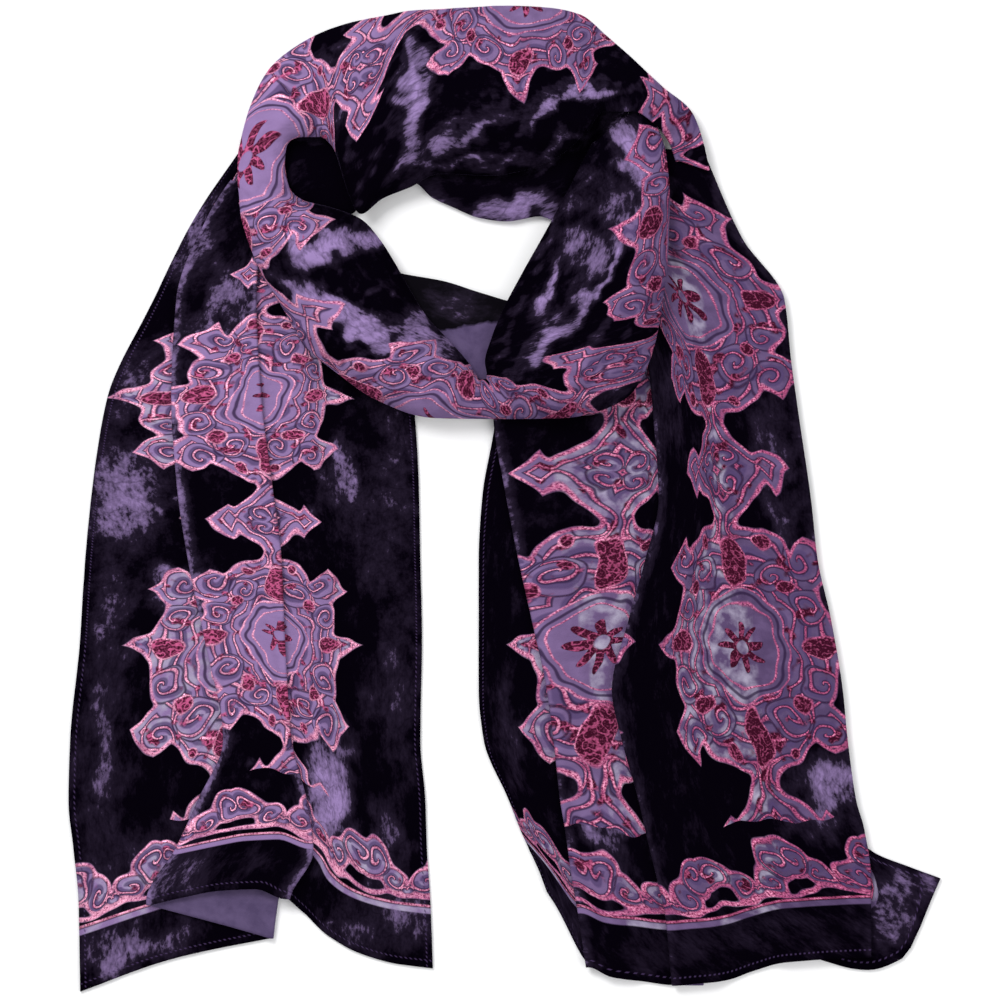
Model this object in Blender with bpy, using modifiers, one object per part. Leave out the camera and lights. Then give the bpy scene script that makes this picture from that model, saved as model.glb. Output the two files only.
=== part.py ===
"""Velvet scarf, wound once as round a neck and laid flat on a surface.

One long strip of cloth makes every stretch. Its two ends are pleated lengthwise and lie side by
side. Between them the strip runs round the front loop and the back of the neck. The script runs
in Blender 4.5. X is to the right, Y towards the back of the neck and Z up from the surface.
"""

from collections import namedtuple

import bmesh
import bpy
import numpy as np

# Driving sizes, in millimetres
MM = 0.001
WALL = 1.2                 # velvet with its pile
PILE_FOLD = 3.4            # height of a fold that closes over the pile side
REVERSE_FOLD = 1.0         # height of a fold that closes over the reverse side
BACK = PILE_FOLD                   # reverse side of a layer folded back over the first
OVER = PILE_FOLD + REVERSE_FOLD    # reverse side of the layer folded over both
RIDE = PILE_FOLD + 0.5             # a layer that starts on top of a fold
CLEAR = 4.0                # a layer stays up this far past a fold beneath it
SLOPE = 14.0               # then comes down over this length
SEAM = 0.4                 # gap between neighbouring stretches
CENTRE = (-1.5, 1.3)      # middle of the laid scarf in the tables' X and Y

# Rounding of the loop's sections
EDGE_CURL = 0.45           # radians that a loop's edge turns under
CURL_DROP = 4.0
ARCH_POWER = 2.4
ARCH_ROUND = 0.75
CORE_UNDER = 1.1           # the hidden layers' crest lies this far under the loop
CORE_POWER = 3.0
FOOT = 1.2                 # height of the hidden layers' upright edge

# Steps of the solids' faces
TAIL_ROWS = 18
FOLD_STEPS = 4
ARC_STEPS = 12
UNDER_ROWS = 28
INSIDE_ROWS = 10
CORE_ROWS = 48
CORE_STEPS = 8

Run = namedtuple("Run", "start end z_start z_end low over_start over_end steps")
Stretch = namedtuple("Stretch", "name first last rows")
Fold = namedtuple("Fold", "x1 y1 x2 y2 height reach")


class Table:
    """Rows under named columns, read between the rows along a smooth curve."""

    def __init__(self, columns, rows):
        self.columns = columns.split()
        self.values = np.array(sorted(rows), dtype=float)

    def read(self, column, at):
        """The column's value at any place along the first column, without overshoot."""
        knots = self.values[:, 0]
        heights = self.values[:, self.columns.index(column)]
        gaps = np.diff(knots)
        slopes = np.diff(heights) / gaps
        before, after = slopes[:-1], slopes[1:]
        same_way = before * after > 0
        total = np.where(same_way, before + after, 1.0)
        inner = np.where(same_way, 2.0 * before * after / total, 0.0)
        tangents = np.concatenate((slopes[:1], inner, slopes[-1:]))
        place = np.clip(np.asarray(at, dtype=float), knots[0], knots[-1])
        row = np.clip(np.searchsorted(knots, place, side="right") - 1, 0, len(gaps) - 1)
        part = (place - knots[row]) / gaps[row]
        rest = 1.0 - part
        return (heights[row] * rest * rest * (1.0 + 2.0 * part)
                + heights[row + 1] * part * part * (1.0 + 2.0 * rest)
                + gaps[row] * part * rest * (tangents[row] * rest - tangents[row + 1] * part))


# Left end: X of its edges and lengthwise creases at each Y; crease_d is hidden under crease_c
LEFT_RAILS = Table("y left crease_a crease_b crease_c crease_d right", [
    (-294, -256, -143, -216, -131, -138, -44),
    (-239, -257, -137, -215, -131, -138, -46),
    (-209, -260, -127, -198, -117, -126, -48),
    (-179, -263, -119, -184, -121, -129, -49),
    (-143, -262, -116, -169, -130, -135, -52),
    (-83, -256, -116, -180, -134, -138, -51),
    (-35, -253, -118, -190, -136, -141, -52),
    (13, -248, -121, -197, -142, -151, -53),
    (61, -240, -125, -200, -148, -161, -56),
    (121, -212, -130, -197, -151, -162, -61),
    (169, -188, -132, -179, -146, -155, -65),
    (215, -157, -130, -148, -136, -142, -70),
])
LEFT_RUNS = [
    Run("left", "crease_a", 0.0, 0.0, 0.0, "", "", 6),
    Run("crease_a", "crease_b", BACK, BACK, BACK, "", "", 3),
    Run("crease_b", "crease_c", OVER, RIDE + OVER, OVER, "", "", 5),
    Run("crease_c", "crease_d", RIDE + BACK, RIDE + BACK, RIDE + BACK, "", "", 1),
    Run("crease_d", "right", RIDE, RIDE, 0.0, "crease_a", "", 8),
]
# Hem and hidden end: place counts the runs from the outer edge, a crease at each whole number
LEFT_ENDS = Table("place hem top", [
    (0.0, -294, 215), (0.5, -274, 172), (1.0, -262, 130), (2.0, -242, 192), (2.25, -237, 190),
    (2.5, -233, 180), (2.75, -232, 165), (3.0, -238, 146), (4.0, -236, 143), (4.15, -246, 139),
    (4.3, -259, 127), (4.5, -270, 100), (4.75, -277, 80), (5.0, -280, 68),
])

# Right end: the cloth's outer edge is tucked under the right side and comes out at the hem
RIGHT_RAILS = Table("y crease_v crease_s crease_1 crease_2 crease_3 crease_4 inner", [
    (-290, 176, 217, 100, 118, 50, 68, 35),
    (-249, 177, 217, 96, 114, 44, 62, 28),
    (-226, 178, 217, 91, 109, 40, 58, 21),
    (-197, 176, 213, 84, 102, 36, 54, 8),
    (-179, 172, 208, 80, 98, 33, 51, 1),
    (-143, 167, 203, 70, 88, 29, 47, -14),
    (-113, 164, 200, 64, 82, 25, 43, -17),
    (-71, 157, 193, 74, 92, 16, 34, -17),
    (-35, 149, 185, 84, 102, 8, 26, -17),
    (1, 145, 181, 92, 110, 1, 19, -15),
    (49, 138, 174, 89, 107, -7, 11, -7),
    (85, 133, 169, 85, 103, -9, 9, -4),
    (121, 129, 165, 72, 92, -9, 9, -4),
    (157, 108, 140, 60, 80, -9, 9, -4),
    (211, 88, 116, 55, 75, -9, 9, -4),
])
RIGHT_RUNS = [
    Run("free_edge", "crease_v", 0.0, 0.0, 0.0, "", "", 4),
    Run("crease_v", "crease_s", BACK, BACK, BACK, "", "", 2),
    Run("crease_s", "crease_1", OVER, OVER, 0.3, "crease_v", "crease_2", 8),
    Run("crease_1", "crease_2", BACK, BACK, BACK, "", "", 1),
    Run("crease_2", "crease_3", 0.0, OVER, 0.0, "", "crease_4", 7),
    Run("crease_3", "crease_4", BACK, BACK, BACK, "", "", 1),
    Run("crease_4", "inner", 0.0, 0.0, 0.0, "", "", 3),
]
RIGHT_ENDS = Table("place hem top", [
    (0.0, -226, 211), (0.2, -276, 211), (0.45, -281, 211), (1.0, -272, 211), (2.0, -273, 211),
    (2.41, -276, 211), (2.6, -282, 211), (2.7, -286, 190), (2.8, -288, 160), (2.9, -289, 130),
    (3.0, -290, 109), (4.0, -290, 104), (4.25, -290, 76), (4.5, -288, 64), (4.8, -285, 58),
    (5.0, -279, 57), (6.0, -283, 57), (6.5, -277, 57), (7.0, -234, 58),
])

# The right end's free edge, from the hem up, and the hem of its outer run
FREE_EDGE = Table("share x y", [
    (0.0, 260, -226), (0.04, 241, -219), (0.08, 221, -211), (0.12, 207, -199), (0.18, 196, -181),
    (0.28, 188, -139), (0.43, 177, -66), (0.60, 164, 16), (0.78, 151, 105), (0.93, 117, 177),
    (1.0, 104, 211),
])
FREE_HEM = Table("part x y", [
    (0.0, 260, -226), (0.2, 237, -274), (0.45, 217, -281), (1.0, 178, -272),
])
FREE_HEM_FADE = 0.16

# Loop: one row for each section along the strip, from the right shoulder down to the low point
# of the front, up to the left shoulder and round the back of the neck to the right shoulder
LOOP = Table("at inner_x inner_y outer_x outer_y inner_z outer_z crest", [
    (0, 52, 214, 82, 240, 11, 8, 0),
    (1, 35, 181, 94, 207, 11, 12, 8),
    (2, 23, 159, 96, 181, 9, 14, 17),
    (3, 10, 136, 95, 148, 7, 14, 21),
    (4, -1, 115, 91, 114, 10, 14, 20),
    (5, -8, 98, 86, 90, 12, 14, 19),
    (6, -12, 84, 71, 63, 13, 14, 17),
    (7, -11, 76, 33, 51, 13, 12, 13),
    (7.6, -11.3, 72, 2, 50.5, 13, 10, 9),
    (8, -14, 72, -6, 50.5, 13, 10, 9),
    (8.4, -16.7, 72, -14, 50.5, 13, 10, 9),
    (9, -23, 81, -43, 51, 12, 13, 13),
    (10, -35, 95, -76, 61, 11, 14, 17),
    (11, -49, 110, -100, 77, 10, 14, 19),
    (12, -59, 126, -119, 93, 9.5, 14, 20),
    (13, -68, 142, -133, 116, 9, 14, 19),
    (14, -77, 156, -147, 140, 8, 14, 18),
    (15, -88, 168, -154, 157, 8, 14, 17),
    (16, -106, 175, -158, 172, 9, 14, 13),
    (17, -122, 179, -159, 184, 10, 14, 9),
    (18, -131, 187, -160, 194, 10, 12, 7),
    (19, -134, 202, -160, 206, 10, 7, 7),
    (20, -133, 212, -158, 218, 11, 4, 7),
    (20.5, -129.5, 217, -156, 226, 11.5, 3.6, 8),
    (21, -123, 219, -153, 236, 12, 3.4, 9),
    (22, -112, 219, -142, 258, 13, 3.4, 11),
    (23, -103, 212, -124, 273, 14, 3.4, 12),
    (24, -98, 198, -106, 282, 14, 3.4, 13),
    (25, -93, 183, -89, 287, 13, 3.4, 14),
    (26, -87, 173, -73, 290, 12, 3.4, 15),
    (27, -75, 182, -58, 293, 12, 3.4, 16),
    (28, -58, 189, -40, 294, 12, 3.4, 17),
    (29, -40, 197, -22, 295, 12, 3.4, 17),
    (30, -10, 196, -1, 296, 12, 3.4, 17),
    (31, 17, 201, 23, 295, 13, 3.4, 15),
    (32, 33, 209, 43, 291, 14, 3.4, 13),
    (33, 47, 222, 58, 279, 16, 3.4, 10),
    (34, 58, 234, 74, 265, 16, 3.4, 7),
    (35, 75, 234, 92, 248, 16, 4, 4),
    (36, 88, 227, 110, 232, 14, 7, 1),
    (37, 98, 215, 117, 212, 8.6, 8.6, 0),
    (38, 102, 204, 120, 198, 8.4, 8.4, 0),
])
LOOP_STRETCHES = [
    Stretch("front_right", 0, 8, 22),
    Stretch("front_left", 8, 19, 30),
    Stretch("back_over", 19, 38, 44),
]

# Soft ridges of the loop, from one end to the other; a trough has a height below zero
FOLDS = [
    Fold(77, 167, 56, 138, 3.0, 14),
    Fold(56, 138, 32, 102, 3.5, 13),
    Fold(32, 102, 8, 72, 3.5, 13),
    Fold(21, 144, 32, 106, 2.5, 12),
    Fold(-139, 163, -115, 147, 3.0, 14),
    Fold(-115, 147, -73, 152, 3.0, 14),
    Fold(-124, 140, -64, 115, -2.0, 18),
    Fold(-124, 124, -97, 109, 3.0, 14),
    Fold(-97, 109, -52, 94, 3.0, 14),
    Fold(-38, 213, -2, 227, 3.5, 13),
    Fold(16, 221, 32, 241, 3.5, 13),
    Fold(32, 241, 58, 243, 3.5, 13),
    Fold(-55, 259, -61, 217, 3.0, 14),
    Fold(-148, 217, -114, 237, 2.5, 13),
]

# Lower stretch round the back of the neck, from the left shoulder to the right one
UNDER = Table("at inner_x inner_y outer_x outer_y inner_z outer_z crest", [
    (-1, -132, 191, -134, 211, 3.4, 3.4, 1),
    (0, -126, 183, -128, 218, 3.4, 3.4, 2),
    (1, -112, 175, -110, 222, 3.4, 3.4, 3),
    (2, -95, 173, -89, 222, 3.4, 3.4, 3),
    (3, -78, 190, -70, 220, 3.4, 3.4, 3),
    (4, -56, 192, -52, 220, 3.4, 3.4, 3),
    (5, -44, 183, -41, 218, 3.4, 3.4, 4),
    (6, -31, 177, -27, 216, 3.4, 3.4, 4),
    (7, -16, 171, -11, 214, 3.4, 3.4, 4),
    (8, 0, 169, 5, 214, 3.4, 3.4, 4),
    (9, 19, 172, 22, 216, 3.4, 3.4, 4),
    (10, 31, 169, 36, 220, 3.4, 3.4, 3),
    (11, 42, 176, 47, 226, 3.4, 3.4, 1),
    (12, 53, 193, 60, 236, 3.4, 3.4, 0.5),
    (13, 64, 214, 76, 241, 3.4, 3.4, 0),
])

# Inner side of the loop that shows in the V, from right to left
INSIDE = Table("at inner_x inner_y outer_x outer_y inner_z outer_z crest", [
    (0, 10, 117, 2, 80, 3.4, 7.4, 0),
    (1, 1, 119, -6, 72, 3.4, 7.4, 0),
    (2, -19, 125, -14, 70, 3.4, 7.4, 1),
    (3, -38, 131, -22, 75, 3.4, 7.4, 1),
    (4, -65, 136, -32, 86, 3.4, 6, 0),
    (5, -76, 140, -40, 96, 3.4, 4, 0),
])

# Hidden layers: how far they stay inside the loop's inner and outer edges
CORE = Table("at inner outer", [
    (1.6, 22, 24), (3, 20, 24), (5, 18, 26), (6, 18, 28), (7, 12, 27), (8, 7, 9), (9, 13, 15),
    (10, 15, 17), (12, 16, 20), (14, 16, 24), (16, 12, 22), (17, 8, 14), (18, 4, 12), (20, 4, 8),
    (21, 6, 8), (22, 8, 8), (23, 16, 9), (25, 54, 10), (27, 48, 10), (29, 28, 10), (31, 26, 10),
    (33, 9, 10), (34, 7, 9),
])


def ease(part):
    """A smooth climb from 0 to 1."""
    part = np.clip(part, 0.0, 1.0)
    return part * part * (3.0 - 2.0 * part)


def mix(first, second, part):
    """The value a part of the way from the first to the second."""
    return first + (second - first) * part


def run_height(run, rails, y, x, x_start, x_end, side):
    """Height of a run's reverse side: up over the folds beneath it and down between them."""
    part = np.clip((x - x_start) / np.where(x_end == x_start, 1.0, x_end - x_start), 0.0, 1.0)
    high = mix(run.z_start, run.z_end, ease(part))
    if not run.over_start and not run.over_end:
        return high
    down = 1.0
    if run.over_start:
        past = side * (x - rails.read(run.over_start, y))
        past = np.minimum(past, side * (x - x_start))
        down = down * ease((past - CLEAR) / SLOPE)
    if run.over_end:
        past = side * (rails.read(run.over_end, y) - x)
        past = np.minimum(past, side * (x_end - x))
        down = down * ease((past - CLEAR) / SLOPE)
    return mix(high, run.low, down)


def tucked_run(crease_x, crease_y, share, part):
    """Points of the right end's outer run, whose free edge comes out from under it at the hem."""
    x = mix(FREE_EDGE.read("x", share), crease_x, part)
    y = mix(FREE_EDGE.read("y", share), crease_y, part)
    fade = np.clip(1.0 - share / FREE_HEM_FADE, 0.0, 1.0) ** 2.0
    x = x + fade * (FREE_HEM.read("x", part) - x[0])
    y = y + fade * (FREE_HEM.read("y", part) - y[0])
    return x, y


def pleated_surface(rails, runs, ends, side, rows):
    """Points of a pleated end's reverse side, as a grid of rows along it and columns across."""
    share = np.linspace(0.0, 1.0, rows + 1)
    columns = []
    for number, run in enumerate(runs):
        last = number == len(runs) - 1
        back = abs(run.z_start - runs[number - 1].z_end) / 2.0 if number else 0.0
        ahead = 0.0 if last else abs(runs[number + 1].z_start - run.z_end) / 2.0
        for part in np.linspace(0.0, 1.0, run.steps + 1):
            place = number + part
            y = mix(ends.read("hem", place), ends.read("top", place), share)
            x_end = rails.read(run.end, y) - side * ahead
            if run.start == "free_edge":
                crease_y = mix(ends.read("hem", 1.0), ends.read("top", 1.0), share)
                crease_x = rails.read(run.end, crease_y) - side * ahead
                x, y = tucked_run(crease_x, crease_y, share, part)
                z = np.zeros_like(x)
            else:
                x_start = rails.read(run.start, y) + side * back
                x = mix(x_start, x_end, part)
                z = run_height(run, rails, y, x, x_start, x_end, side)
            columns.append((x, y, z))
        if last:
            continue
        y = mix(ends.read("hem", number + 1.0), ends.read("top", number + 1.0), share)
        x_end = rails.read(run.end, y) - side * ahead
        rise = runs[number + 1].z_start - run.z_end
        for step in range(1, FOLD_STEPS):
            angle = np.pi * step / FOLD_STEPS
            x = x_end + side * ahead * np.sin(angle)
            z = run.z_end + rise * (1.0 - np.cos(angle)) / 2.0
            columns.append((x, y, np.full_like(x, z)))
        side = -side
    return np.stack([np.stack(column, axis=-1) for column in columns], axis=1)


def fold_lift(x, y):
    """How far the loop's ridges and troughs lift the places in plan."""
    lift = np.zeros_like(x)
    for fold in FOLDS:
        along_x, along_y = fold.x2 - fold.x1, fold.y2 - fold.y1
        share = (x - fold.x1) * along_x + (y - fold.y1) * along_y
        share = np.clip(share / (along_x ** 2 + along_y ** 2), 0.0, 1.0)
        away = np.hypot(x - fold.x1 - share * along_x, y - fold.y1 - share * along_y)
        bump = ease(1.0 - away / fold.reach)
        lift = np.where(np.abs(fold.height * bump) > np.abs(lift), fold.height * bump, lift)
    return lift


def arched_surface(sections, stations, steps):
    """Points of a rounded stretch's reverse side, with both its edges turned under."""
    angles = np.linspace(np.pi + EDGE_CURL, -EDGE_CURL, steps + 1)
    at = np.asarray(stations, dtype=float)[:, None]
    across = (1.0 - np.cos(angles)) / 2.0
    bow = np.abs(2.0 * across - 1.0)
    upper = (1.0 - bow ** ARCH_POWER) ** ARCH_ROUND
    above = np.where(np.sin(angles) >= 0.0, upper, 0.0)
    below = np.where(np.sin(angles) < 0.0, np.sin(angles), 0.0)
    x = mix(sections.read("inner_x", at), sections.read("outer_x", at), across)
    y = mix(sections.read("inner_y", at), sections.read("outer_y", at), across)
    z = mix(sections.read("inner_z", at), sections.read("outer_z", at), across)
    z = z + sections.read("crest", at) * above + CURL_DROP * below
    return np.stack((x, y, z), axis=-1)


def core_rings(rows):
    """Points round each section of the hidden layers, flat beneath and rounded on top."""
    at = np.linspace(CORE.values[0, 0], CORE.values[-1, 0], rows + 1)[:, None]
    inner = np.concatenate((LOOP.read("inner_x", at), LOOP.read("inner_y", at)), axis=1)
    outer = np.concatenate((LOOP.read("outer_x", at), LOOP.read("outer_y", at)), axis=1)
    width = np.linalg.norm(outer - inner, axis=1, keepdims=True)
    first = CORE.read("inner", at) / width
    last = 1.0 - CORE.read("outer", at) / width
    sweep = np.linspace(-1.0, 1.0, CORE_STEPS + 1)
    across = mix(first, last, (1.0 + np.sin(sweep * np.pi / 2.0)) / 2.0)
    bow = np.abs(2.0 * across - 1.0)
    x = mix(inner[:, :1], outer[:, :1], across)
    y = mix(inner[:, 1:], outer[:, 1:], across)
    roof = mix(LOOP.read("inner_z", at), LOOP.read("outer_z", at), across)
    roof = roof + LOOP.read("crest", at) * (1.0 - bow ** ARCH_POWER) ** ARCH_ROUND
    roof = roof + np.minimum(fold_lift(x, y), 0.0) - CORE_UNDER
    dome = np.sqrt(1.0 - np.abs(np.sin(sweep * np.pi / 2.0)) ** CORE_POWER)
    z = FOOT + (roof - FOOT) * dome
    top = np.stack((x, y, z), axis=-1)
    bottom = top[:, ::-1].copy()
    bottom[:, :, 2] = 0.0
    return np.concatenate((top, bottom), axis=1)


def cloth_material(name, colour, roughness):
    """A plain cloth finish."""
    material = bpy.data.materials.new(name)
    material.use_nodes = True
    shader = material.node_tree.nodes["Principled BSDF"]
    shader.inputs["Base Color"].default_value = (*colour, 1.0)
    shader.inputs["Roughness"].default_value = roughness
    shader.inputs["Metallic"].default_value = 0.0
    return material


def place_points(points):
    """The tables' millimetres as metres about the scarf's middle, never below the surface."""
    moved = np.asarray(points, dtype=float) - (CENTRE[0], CENTRE[1], 0.0)
    moved[..., 2] = np.maximum(moved[..., 2], 0.0)
    return moved * MM


def finish_object(name, mesh, material, collection):
    """Adds the mesh to the scene as a named, smooth-shaded object."""
    mesh.materials.append(material)
    mesh.shade_smooth()
    piece = bpy.data.objects.new(name, mesh)
    collection.objects.link(piece)
    return piece


def cloth_shell(name, points, material, collection):
    """A grid moved onto the reverse side's points, thickened towards the pile side."""
    rows, columns = points.shape[:2]
    shape = bmesh.new()
    bmesh.ops.create_grid(shape, x_segments=columns - 1, y_segments=rows - 1, size=1.0)
    shape.verts.ensure_lookup_table()
    for vertex, place in zip(shape.verts, place_points(points).reshape(-1, 3)):
        vertex.co = place
    mesh = bpy.data.meshes.new(name)
    shape.to_mesh(mesh)
    shape.free()
    piece = finish_object(name, mesh, material, collection)
    thickness = piece.modifiers.new("wall", "SOLIDIFY")
    thickness.thickness = WALL * MM
    thickness.offset = 1.0
    return piece


def ring_solid(name, rings, material, collection):
    """A closed loft through the rings, with a flat cap at each end."""
    rings = place_points(rings)
    count = rings.shape[1]
    shape = bmesh.new()
    loops = [[shape.verts.new(place) for place in ring] for ring in rings]
    for near, far in zip(loops, loops[1:]):
        for number in range(count):
            after = (number + 1) % count
            shape.faces.new((near[number], near[after], far[after], far[number]))
    shape.faces.new(loops[0])
    shape.faces.new(loops[-1])
    bmesh.ops.recalc_face_normals(shape, faces=shape.faces)
    mesh = bpy.data.meshes.new(name)
    shape.to_mesh(mesh)
    shape.free()
    return finish_object(name, mesh, material, collection)


def hold_back(points, end, near):
    """Moves a stretch's end row towards the next row by half a seam."""
    step = points[near].mean(axis=0) - points[end].mean(axis=0)
    step[2] = 0.0
    points[end] += step * SEAM / 2.0 / np.linalg.norm(step)


def build_scarf():
    """Every stretch of the scarf, in its own collection."""
    for old in list(bpy.data.objects):
        bpy.data.objects.remove(old, do_unlink=True)
    collection = bpy.data.collections.new("velvet_scarf")
    bpy.context.scene.collection.children.link(collection)

    dark = cloth_material("dark_velvet", (0.018, 0.010, 0.030), 0.55)
    figured = cloth_material("figured_velvet", (0.110, 0.050, 0.120), 0.50)
    reverse = cloth_material("reverse_side", (0.090, 0.070, 0.130), 0.80)

    left = pleated_surface(LEFT_RAILS, LEFT_RUNS, LEFT_ENDS, 1.0, TAIL_ROWS)
    cloth_shell("left_tail", left, figured, collection)
    right = pleated_surface(RIGHT_RAILS, RIGHT_RUNS, RIGHT_ENDS, -1.0, TAIL_ROWS)
    cloth_shell("right_tail", right[:, ::-1], figured, collection)

    for stretch in LOOP_STRETCHES:
        stations = np.linspace(stretch.first, stretch.last, stretch.rows + 1)
        points = arched_surface(LOOP, stations, ARC_STEPS)
        points[..., 2] += fold_lift(points[..., 0], points[..., 1])
        hold_back(points, 0, 1)
        hold_back(points, -1, -2)
        cloth_shell(stretch.name, points, figured, collection)

    for name, sections, rows, finish in (
        ("back_under", UNDER, UNDER_ROWS, dark),
        ("front_inside", INSIDE, INSIDE_ROWS, reverse),
    ):
        stations = np.linspace(sections.values[0, 0], sections.values[-1, 0], rows + 1)
        cloth_shell(name, arched_surface(sections, stations, ARC_STEPS), finish, collection)
    ring_solid("hidden_layers", core_rings(CORE_ROWS), dark, collection)


build_scarf()
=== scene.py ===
"""Looks of the velvet scarf: burnt-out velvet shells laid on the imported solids."""
import math
from collections import namedtuple

import bmesh
import bpy
import numpy as np
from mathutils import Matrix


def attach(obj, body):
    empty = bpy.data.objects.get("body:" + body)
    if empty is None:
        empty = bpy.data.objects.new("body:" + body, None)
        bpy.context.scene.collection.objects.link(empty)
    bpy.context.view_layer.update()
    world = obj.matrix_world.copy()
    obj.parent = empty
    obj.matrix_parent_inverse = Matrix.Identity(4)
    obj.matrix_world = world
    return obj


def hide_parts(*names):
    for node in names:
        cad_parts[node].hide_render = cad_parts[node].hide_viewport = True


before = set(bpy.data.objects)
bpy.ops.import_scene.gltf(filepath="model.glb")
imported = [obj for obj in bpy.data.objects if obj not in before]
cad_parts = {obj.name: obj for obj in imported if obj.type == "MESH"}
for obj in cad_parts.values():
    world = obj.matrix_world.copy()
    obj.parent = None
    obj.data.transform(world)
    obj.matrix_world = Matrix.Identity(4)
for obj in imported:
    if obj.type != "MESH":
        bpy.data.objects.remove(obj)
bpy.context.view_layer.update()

# Driving sizes, in millimetres, the same as the solids'
MM = 0.001                 # metres in a millimetre
WALL = 1.2                 # thickness of the cloth
PILE_FOLD = 3.4            # height of a fold that lays pile on pile, between the flat sides
REVERSE_FOLD = 1.0         # height of a fold that lays flat side on flat side
BACK = PILE_FOLD           # height of a run turned over on the first
OVER = PILE_FOLD + REVERSE_FOLD
RIDE = PILE_FOLD + 0.5     # height by which the second pleat rides on the first
CLEAR = 4.0                # how far a run stays up past a fold beneath it
SLOPE = 14.0               # length over which it then comes down
CENTRE = (-1.5, 1.3)       # the tables' place of the bounding box's middle
EDGE_CURL = 0.45           # how far a rounded stretch's edges turn under, in radians
CURL_DROP = 4.0
ARCH_POWER = 2.4
ARCH_ROUND = 0.75

# Steps of the shells' faces
TAIL_ROWS = 190
RUN_FINENESS = 5           # columns to a run's step
FOLD_STEPS = 8
LOOP_COLUMNS = 84
LOOP_FINENESS = 12.0       # rows to a station of the loop
SMALL_COLUMNS = 60
UNDER_ROWS = 150
INSIDE_ROWS = 70

# Studio and camera, in metres
CAMERA_HEIGHT = 3.0
VIEW_SPAN = 0.600          # width of the floor in the picture
VIEW_CENTRE = (-0.0027, -0.0004)
FILM_WIDTH = 36.0
FLOOR_HALF = 2.5
FLOOR_DROP = 0.0003        # keeps the floor clear of the cloth's underside
FLOOR_COLOUR = (0.90, 0.90, 0.91, 1.0)
SKY_STRENGTH = 0.70

# Mapping and looks of the shells, in millimetres
SELVEDGE_FAR = 99.0        # distance given where no selvedge shows
HEM_MIDDLE = -260.0        # place along Y of a straight hem
HEM_BLEND = 220.0          # length over which the hem's slant fades from the design
LEFT_DRAWN_IN = 0.40       # how much the left end is drawn together along its upper part
LEFT_TURNED_IN = 24.0      # how much of its outer edge is turned under there
TURNED_FROM = -40.0        # place along Y from which it is turned under
TURNED_LENGTH = 110.0      # and the length over which that comes about
SINGLE_LAYER = 2.4         # height up to which cloth lies singly on the floor
# Line in the V below which the cloth is turned over
TURNED_BELOW = ((-43.8, 101.7), (-7.8, 107.7))
LOOP_FLANK_HIGHLIGHT = 0.34         # strength of the painted highlight on the loop's crease flanks
RELIEF = 0.9               # strength of the shaders' bump
SHEEN_ROUGHNESS = 0.17
SHEEN_TINT = (0.62, 0.48, 0.90, 1.0)
TAIL_WAVES = ((0.35, 46.0, 1.0), (0.30, 17.0, 2.0))    # height, length and seed
LOOP_WAVES = ((0.5, 21.0, 3.0), (0.3, 9.0, 4.0))

Run = namedtuple("Run", "start end z_start z_end low over_start over_end steps")
Fold = namedtuple("Fold", "x1 y1 x2 y2 height reach")
Patch = namedtuple("Patch", "x y long wide angle strength")


def named_rows(kind, rows):
    """The rows of a table as that kind of named tuple."""
    return [kind(*row) for row in rows]


class Table:
    """Rows under named columns, read between the rows along a smooth curve."""

    def __init__(self, columns, rows):
        self.columns = columns.split()
        self.values = np.array(sorted(rows), dtype=float)

    def read(self, column, at):
        """The column's value at any place along the first column, without overshoot."""
        knots = self.values[:, 0]
        heights = self.values[:, self.columns.index(column)]
        gaps = np.diff(knots)
        slopes = np.diff(heights) / gaps
        before, after = slopes[:-1], slopes[1:]
        same_way = before * after > 0
        total = np.where(same_way, before + after, 1.0)
        inner = np.where(same_way, 2.0 * before * after / total, 0.0)
        tangents = np.concatenate((slopes[:1], inner, slopes[-1:]))
        place = np.clip(np.asarray(at, dtype=float), knots[0], knots[-1])
        row = np.clip(np.searchsorted(knots, place, side="right") - 1, 0, len(gaps) - 1)
        part = (place - knots[row]) / gaps[row]
        rest = 1.0 - part
        return (heights[row] * rest * rest * (1.0 + 2.0 * part)
                + heights[row + 1] * part * part * (1.0 + 2.0 * rest)
                + gaps[row] * part * rest * (tangents[row] * rest - tangents[row + 1] * part))


# Left end
LEFT_RAILS = Table("y left crease_a crease_b crease_c crease_d right", [
    (-294, -256, -143, -216, -131, -138, -44),
    (-239, -257, -137, -215, -131, -138, -46),
    (-209, -260, -127, -198, -117, -126, -48),
    (-179, -263, -119, -184, -121, -129, -49),
    (-143, -262, -116, -169, -130, -135, -52),
    (-83, -256, -116, -180, -134, -138, -51),
    (-35, -253, -118, -190, -136, -141, -52),
    (13, -248, -121, -197, -142, -151, -53),
    (61, -240, -125, -200, -148, -161, -56),
    (121, -212, -130, -197, -151, -162, -61),
    (169, -188, -132, -179, -146, -155, -65),
    (215, -157, -130, -148, -136, -142, -70),
])
LEFT_RUNS = [
    Run("left", "crease_a", 0.0, 0.0, 0.0, "", "", 6),
    Run("crease_a", "crease_b", BACK, BACK, BACK, "", "", 3),
    Run("crease_b", "crease_c", OVER, RIDE + OVER, OVER, "", "", 5),
    Run("crease_c", "crease_d", RIDE + BACK, RIDE + BACK, RIDE + BACK, "", "", 1),
    Run("crease_d", "right", RIDE, RIDE, 0.0, "crease_a", "", 8),
]
LEFT_ENDS = Table("place hem top", [
    (0.0, -294, 215), (0.5, -274, 172), (1.0, -262, 130), (2.0, -242, 192), (2.25, -237, 190),
    (2.5, -233, 180), (2.75, -232, 165), (3.0, -238, 146), (4.0, -236, 143), (4.15, -246, 139),
    (4.3, -259, 127), (4.5, -270, 100), (4.75, -277, 80), (5.0, -280, 68),
])

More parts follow.
